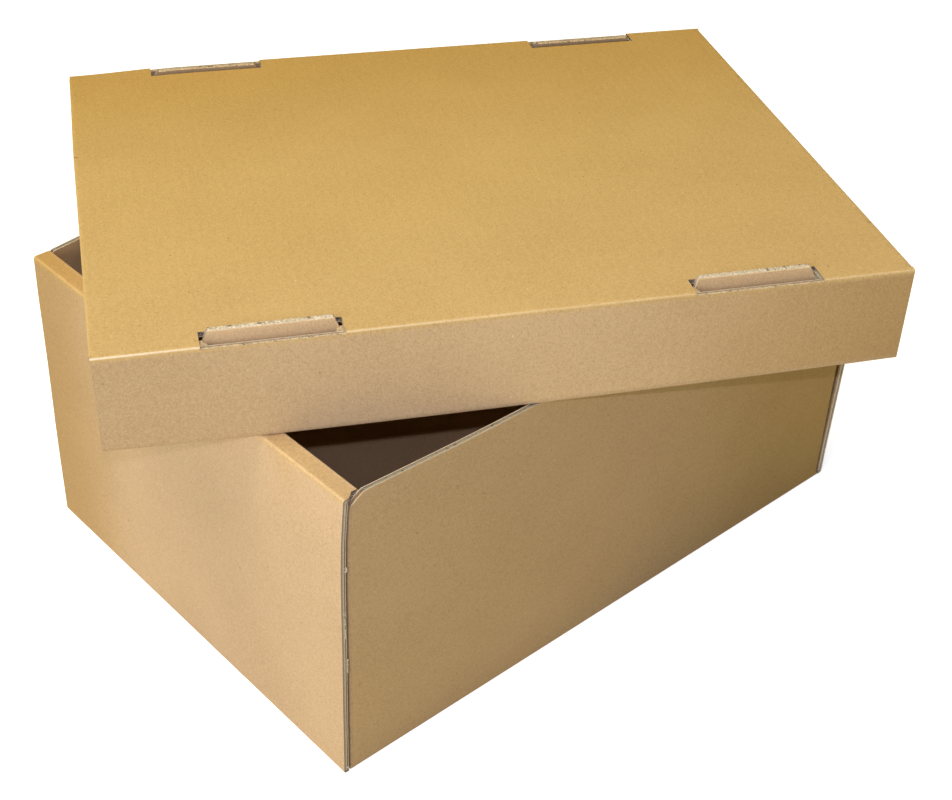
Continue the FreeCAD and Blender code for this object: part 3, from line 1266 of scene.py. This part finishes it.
def lid_plan():
    return SheetPlan(
        name="lid_board",
        span=LID_WIDTH,
        run=LID_LENGTH,
        height=LID_HEIGHT,
        roll=LID_ROLL,
        reach=LID_FLAP_REACH,
        play=LAYER_GAP,
        tabs=pair_of_tabs(LID_TAB_SPACING, LID_TAB_HALF, LID_TAB_SLANT, -LID_TAB_PROUD),
        slot_half=LID_TAB_HALF + LID_TAB_SLANT + TAB_END_PLAY,
        slot_span=(LID_WIDTH / 2 - LID_ROLL - TAB_FACE_PLAY, None),
        square=None,
        place=lid_place(),
        warp=lid_warp,
        rub=lid_rub_and_shade,
        tint=lid_tint,
        nicks=LID_NICKS,
    )


EDGE_PAPERS = [CUT_PAPER, FLUTE_KRAFT, TORN_PAPER, TORN_KRAFT_PAPER, FRAYED_PAPER]

tray = folded_board(tray_plan(), [TRAY_KRAFT, *EDGE_PAPERS])
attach(tray, "root")
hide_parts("tray")
lid = folded_board(lid_plan(), [LID_KRAFT, *EDGE_PAPERS])
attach(lid, "root")
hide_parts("lid")


# Floor, light and camera

FLOOR_HALF = 9.0
FLOOR_PALE = (0.86, 0.86, 0.86)
FLOOR_WARM = (0.73, 0.67, 0.38)
FLOOR_GLOW = 0.78

# Name, place, width, power and color of each light
LIGHTS = (
    ("key", (-2.8, -0.75, 1.0), 1.6, 56.0, (0.94, 0.97, 1.0)),
    ("top", (-0.6, 0.2, 2.6), 1.6, 55.5, (1.0, 0.92, 0.65)),
    ("lamp", (-0.5763, -0.643, 0.742), 0.01, 3.0, (0.74, 0.76, 1.0)),
)
LIGHTS_AIM = (0.0, 0.0, 0.15)

IMAGE_WIDTH = 952
FOCAL_PIXELS = 1566.6
SENSOR_WIDTH = 36.0
CAMERA_AT = Vector((-0.5763, -0.6430, 0.6963))
CAMERA_FORWARD = Vector((0.55252, 0.59688, -0.58177))
CAMERA_RIGHT = Vector((0.74650, -0.66484, 0.02687))


def seen_rays(tree):
    """1 for what the camera sees, directly or in a reflection, and 0 for other light."""
    path = node(tree, "ShaderNodeLightPath")
    return maths(tree, "MAXIMUM", path.outputs["Is Camera Ray"], path.outputs["Is Glossy Ray"])


def floor():
    """A pale floor that shows nearly white to the camera, apart from the object's shadow.

    The light that it throws back on the object is warmer and weaker than white.
    """
    mesh = bpy.data.meshes.new("floor")
    corners = [(x * FLOOR_HALF, y * FLOOR_HALF, 0) for x, y in ((-1, -1), (1, -1), (1, 1), (-1, 1))]
    mesh.from_pydata(corners, [], [(0, 1, 2, 3)])
    material, tree = new_material("floor")
    seen = seen_rays(tree)
    surface = node(tree, "ShaderNodeBsdfDiffuse")
    link(tree, mix(tree, seen, FLOOR_WARM, FLOOR_PALE), surface.inputs["Color"])
    glow = node(tree, "ShaderNodeEmission")
    link(tree, maths(tree, "MULTIPLY", seen, FLOOR_GLOW), glow.inputs["Strength"])
    both = node(tree, "ShaderNodeAddShader")
    link(tree, surface.outputs["BSDF"], both.inputs[0])
    link(tree, glow.outputs["Emission"], both.inputs[1])
    link(tree, both.outputs["Shader"], node(tree, "ShaderNodeOutputMaterial").inputs["Surface"])
    mesh.materials.append(material)
    piece = new_object("floor", mesh)


def area_light(name, at, size, power, color):
    lamp = bpy.data.lights.new(name, "AREA")
    lamp.shape = "DISK"
    lamp.size = size
    lamp.energy = power
    lamp.color = color
    piece = new_object(name, lamp)
    piece.location = at
    aim = Vector(LIGHTS_AIM) - Vector(at)
    piece.rotation_euler = aim.to_track_quat("-Z", "Y").to_euler()


def world():
    """White to the camera and in reflections, and no light on the object."""
    scene_world = bpy.data.worlds.new("studio")
    bpy.context.scene.world = scene_world
    scene_world.use_nodes = True
    tree = scene_world.node_tree
    tree.nodes.clear()
    background = node(tree, "ShaderNodeBackground")
    link(tree, seen_rays(tree), background.inputs["Strength"])
    output = node(tree, "ShaderNodeOutputWorld").inputs["Surface"]
    link(tree, background.outputs["Background"], output)


def camera():
    data = bpy.data.cameras.new("camera")
    data.sensor_width = SENSOR_WIDTH
    data.lens = FOCAL_PIXELS / IMAGE_WIDTH * SENSOR_WIDTH
    data.clip_start = 0.01
    piece = new_object("camera", data)
    forward = CAMERA_FORWARD.normalized()
    right = CAMERA_RIGHT.normalized()
    up = right.cross(forward)
    turn = Matrix((right, up, -forward)).transposed().to_4x4()
    piece.matrix_world = Matrix.Translation(CAMERA_AT) @ turn
    bpy.context.scene.camera = piece


floor()
for light in LIGHTS:
    area_light(*light)
world()
camera()
bpy.context.scene.view_settings.view_transform = "Standard"
